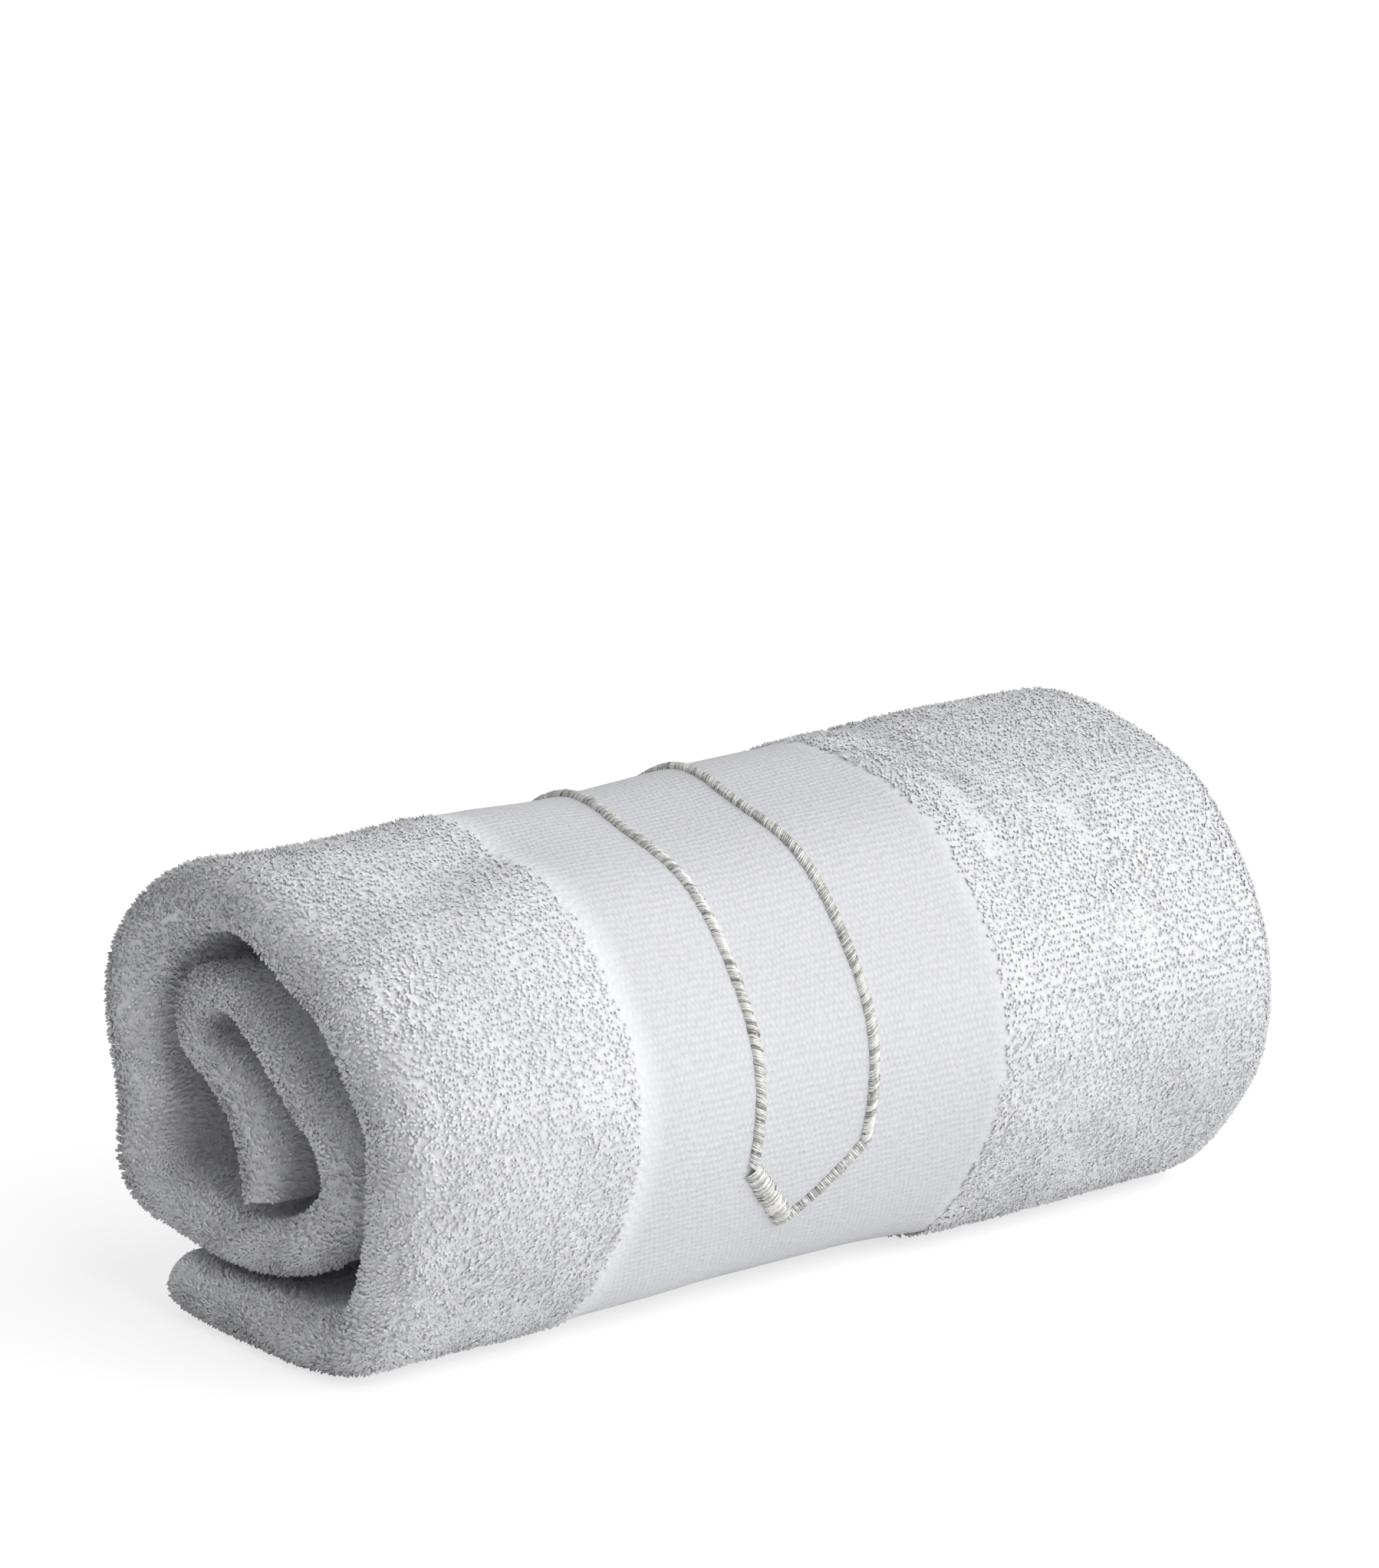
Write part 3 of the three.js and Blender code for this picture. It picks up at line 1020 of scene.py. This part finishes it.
        # rise runs from the ground to the loop's top and carries the painted shade towards the roots
        paint(mesh, "rise", np.tile(vertices[:, 2] / self.height, count))
        paint(mesh, "tone", np.repeat(dice.uniform(0, 1, count), len(vertices)))
        made = mesh_object(pile.name, mesh, self.material)
        mesh.normals_split_custom_set_from_vertices(np.repeat(facing, len(vertices), axis=0).tolist())
        self.made.append(made)
        log.info("%s: %d loops, %d triangles", pile.name, count, count * (pile.steps * 6 + 2))
        return made

    def build_all(self, sheet: bpy.types.Object) -> list[bpy.types.Object]:
        """Makes every stretch of pile on the sheet.

        Args:
            sheet: The towel's sheet, before its modifiers.

        Returns:
            The pile's objects.
        """
        mesh = sheet.data
        points = np.empty(len(mesh.vertices) * 3)
        mesh.vertices.foreach_get("co", points)
        faces = [polygon.vertices[:] for polygon in mesh.polygons]
        tree = BVHTree.FromPolygons((points.reshape(-1, 3) / MM).tolist(), faces)
        self.material = self.finish.loops()
        for seed, pile in enumerate(self.patches):
            self.build(pile, tree, 100 + seed)
        return self.made


@dataclass
class Embroidery:
    """Outlined bar on the border: two satin-stitched lines that meet in a point at the lower front.

    Where they go over the top, the lines drift towards the far end.
    """

    cloth: RolledCloth
    finish: SilverThread
    line_alongs: tuple[float, float] = (-31.5, -2.7)
    corner_run: float = 98.5
    tip_run: float = 83.0
    last_run: float = 300.0
    line_width: float = 2.7
    point_widths: tuple[float, float] = (4.2, 2.5)
    rise: float = 1.0
    stitch_pitch: float = 0.45
    thread: float = 0.25
    slant: float = 0.55
    point_slant: float = 0.05
    lay_chance: float = 0.06
    width_chance: float = 0.06
    lift_chance: float = 0.04
    above: float = 0.45
    bend: float = 0.35
    drift: float = 9.0
    drift_from: float = 165.0
    drift_over: float = 55.0

    def lines(self) -> list[tuple[tuple[float, float], tuple[float, float], float, float]]:
        """Starts, ends, widths and slants of the outline's four lines on the flat cloth."""
        left, right = self.line_alongs
        tip = ((left + right) / 2, self.tip_run)
        corners = ((left, self.corner_run), (right, self.corner_run))
        return [
            ((left, self.last_run), corners[0], self.line_width, self.slant),
            (corners[0], tip, self.point_widths[0], self.point_slant),
            (tip, corners[1], self.point_widths[1], self.point_slant),
            (corners[1], (right, self.last_run), self.line_width, -self.slant),
        ]

    def stitches(self) -> tuple[np.ndarray, np.ndarray, np.ndarray, np.ndarray]:
        """Middles, directions, widths and slants of the stitches, on the flat cloth."""
        rows = []
        for start, end, width, slant in self.lines():
            start, end = np.array(start), np.array(end)
            length = float(np.linalg.norm(end - start))
            for step in range(int(length / self.stitch_pitch)):
                share = (step + 0.5) * self.stitch_pitch / length
                rows.append((*(start + share * (end - start)), *((end - start) / length), width, slant))
        table = np.array(rows)
        return table[:, :2], table[:, 2:4], table[:, 4], table[:, 5]

    def build(self) -> bpy.types.Object:
        """Makes the stitches as one joined mesh of small domed threads.

        Returns:
            The embroidery's object.
        """
        dice = np.random.default_rng(7)
        middles, ways, widths, slants = self.stitches()
        count = len(middles)
        bm = bmesh.new()
        bmesh.ops.create_cone(bm, segments=4, radius1=1, radius2=1, depth=1, cap_ends=True)
        bmesh.ops.rotate(bm, verts=bm.verts, cent=(0, 0, 0), matrix=Matrix.Rotation(math.pi / 2, 3, "Y"))
        for shift in (0, -self.bend, self.bend):
            whole = [*bm.verts, *bm.edges, *bm.faces]
            bmesh.ops.bisect_plane(bm, geom=whole, plane_co=(shift, 0, 0), plane_no=(1, 0, 0))
        bm.verts.index_update()
        vertices = np.array([v.co[:] for v in bm.verts])
        faces = [[v.index for v in face.verts] for face in bm.faces]
        bm.free()
        across = np.stack([-ways[:, 1], ways[:, 0]], 1)
        lay = unit(across + (slants + dice.normal(0, self.lay_chance, count))[:, None] * ways)
        width = widths * (1 + dice.normal(0, self.width_chance, count))
        reach = vertices[None, :, 0] * width[:, None]
        share = np.abs(vertices[:, 0]) * 2
        dome = self.rise * np.sqrt(np.clip(1 - share**2, 0, 1))
        spot = middles[:, None, :] + reach[..., None] * lay[:, None, :]
        spot += vertices[None, :, 1, None] * self.thread * ways[:, None, :]
        height = dome[None, :] + vertices[None, :, 2] * self.thread + self.above
        height = height + dice.normal(0, self.lift_chance, count)[:, None]
        drawn = np.clip((spot[..., 1].ravel() - self.drift_from) / self.drift_over, 0, 1)
        column = self.cloth.along_to_column(spot[..., 0].ravel() + self.drift * drawn**2 * (3 - 2 * drawn))
        place, facing, _ = self.cloth.frame(column, spot[..., 1].ravel())
        copies = (place + facing * height.ravel()[:, None]).reshape(count, len(vertices), 3)
        mesh = joined_copies("silver_embroidery", (vertices, faces), copies * MM)
        paint(mesh, "tone", np.repeat(dice.uniform(0, 1, count), len(vertices)))
        return mesh_object("silver_embroidery", mesh, self.finish.material())


@dataclass
class Studio:
    """Pale floor, soft light and the camera."""

    azimuth: float = math.radians(-39.849)
    elevation: float = math.radians(13.12)
    focal_pixels: float = 7376.0
    distance: float = 1146.86
    target: tuple[float, float, float] = (-3.825, -1.0, 98.885)
    floor_size: float = 30.0
    floor_white: float = 0.86
    floor_seen: float = 0.5
    floor_glow: float = 0.68
    world_strength: float = 0.38
    room_colour: tuple[float, float, float] = (0.98, 0.985, 1.0)
    key_from: tuple[float, float, float] = (0.32, -0.7, 0.64)
    key_strength: float = 1.55
    key_angle: float = 75.0
    fill_from: tuple[float, float, float] = (0.3, -0.92, 0.25)
    fill_strength: float = 1.15
    fill_angle: float = 70.0

    def camera(self) -> None:
        """Sets the camera at the photograph's viewing angle."""
        back = Vector(
            (
                math.sin(self.azimuth) * math.cos(self.elevation),
                -math.cos(self.azimuth) * math.cos(self.elevation),
                math.sin(self.elevation),
            )
        )
        data = bpy.data.cameras.new("camera")
        data.sensor_width = SENSOR
        data.lens = self.focal_pixels / IMAGE_LONG_SIDE * SENSOR
        camera = bpy.data.objects.new("camera", data)
        camera.location = (Vector(self.target) + back * self.distance) * MM
        camera.rotation_euler = (-back).to_track_quat("-Z", "Y").to_euler()
        bpy.context.scene.collection.objects.link(camera)
        bpy.context.scene.camera = camera

    def floor(self) -> None:
        """Lays the pale floor, which the camera sees a little brighter than it lights the towel."""
        bm = bmesh.new()
        bmesh.ops.create_grid(bm, x_segments=1, y_segments=1, size=self.floor_size / 2)
        mesh = bpy.data.meshes.new("floor")
        bm.to_mesh(mesh)
        bm.free()
        material, build, shader = surface("pale_floor", 0.95, 0.0)
        shader.inputs["Specular IOR Level"].default_value = 0.1
        shader.inputs["Emission Color"].default_value = (1, 1, 1, 1)
        path = build.add("ShaderNodeLightPath")
        bounced, seen = (self.floor_white,) * 3, (self.floor_seen,) * 3
        build.link(*build.mix(bounced, seen, (path, "Is Camera Ray")), shader, "Base Color")
        glow = build.math("MULTIPLY", (path, "Is Camera Ray"), self.floor_glow)
        build.link(*glow, shader, "Emission Strength")
        mesh_object("floor", mesh, material)

    def sun(self, name: str, towards: tuple[float, float, float], strength: float, angle: float) -> None:
        """Adds a soft distant light that comes from that direction."""
        data = bpy.data.lights.new(name, "SUN")
        data.energy = strength
        data.angle = math.radians(angle)
        light = bpy.data.objects.new(name, data)
        light.rotation_euler = Vector(towards).to_track_quat("Z", "Y").to_euler()
        bpy.context.scene.collection.objects.link(light)

    def lights(self) -> None:
        """Sets the soft key light from the front right, a low fill beside it and the room's pale light."""
        self.sun("key", self.key_from, self.key_strength, self.key_angle)
        self.sun("fill", self.fill_from, self.fill_strength, self.fill_angle)
        world = bpy.data.worlds.new("room")
        world.use_nodes = True
        background = world.node_tree.nodes["Background"]
        background.inputs["Color"].default_value = (*self.room_colour, 1)
        background.inputs["Strength"].default_value = self.world_strength
        bpy.context.scene.world = world

    def build(self) -> None:
        """Sets up the whole studio."""
        bpy.context.scene.view_settings.view_transform = "Standard"
        self.camera()
        self.floor()
        self.lights()


def terry_patches(cloth: RolledCloth) -> tuple[Pile, ...]:
    """The stretches of pile that can be seen, from the outside to the core and the far end."""
    border = cloth.along_to_column(np.array([cloth.far_end - off for off in cloth.border_from_hem]))
    right, left = border
    front, top, wrapped, end = 118.0, 195.0, 262.0, cloth.run_length
    return (
        Pile("terry_far_front", (0.0, right), (0.0, front)),
        Pile("terry_far_top", (0.0, right), (front, top)),
        Pile("terry_far_back", (0.0, right), (top, wrapped), 1.8, 3),
        Pile("terry_near_front", (left, 1.0), (0.0, top)),
        Pile("terry_near_back", (left, 1.0), (top, wrapped), 1.6, 3),
        Pile("terry_near_rim", (1.0, 2.0), (0.0, wrapped)),
        Pile("terry_core_rim", (1.0, 2.0), (wrapped, end)),
        Pile("terry_core_outside", (left, 1.0), (wrapped, end), 1.5, 3, 3),
        Pile("terry_inside", (2.0, 2.3), (0.0, wrapped), 1.5, 3, 3),
        Pile("terry_core_inside", (2.0, 2.3), (wrapped, end), 1.5, 3, 3),
        Pile("terry_far_core", (0.0, right), (wrapped, end), 2.0, 3, 3),
        Pile("terry_far_inside", (2.8, 3.0), (0.0, end), 2.2, 3, 3),
        Pile("terry_far_fold", (3.0, 4.0), (0.0, end), 1.7, 3),
    )


def main() -> None:
    """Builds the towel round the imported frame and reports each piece."""
    logging.basicConfig(level=logging.INFO, format="%(message)s")
    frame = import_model()
    log.info("frame nodes: %s", ", ".join(sorted(frame["nodes"])))
    cloth = RolledCloth()
    cotton, silver = Cotton(), SilverThread()
    Studio().build()
    sheet = ClothSheet(cloth, cotton).build()
    log.info("%s: %d faces, strip %.1f mm", sheet.name, len(sheet.data.polygons), cloth.run_length)
    terry = Terry(cloth, cotton, terry_patches(cloth))
    piles = terry.build_all(sheet)
    stitching = Embroidery(cloth, silver).build()
    log.info("%s: %d faces", stitching.name, len(stitching.data.polygons))
    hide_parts("towel_roll")
    for piece in (sheet, *piles, stitching):
        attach(piece, "root")


if __name__ == "__main__":
    main()
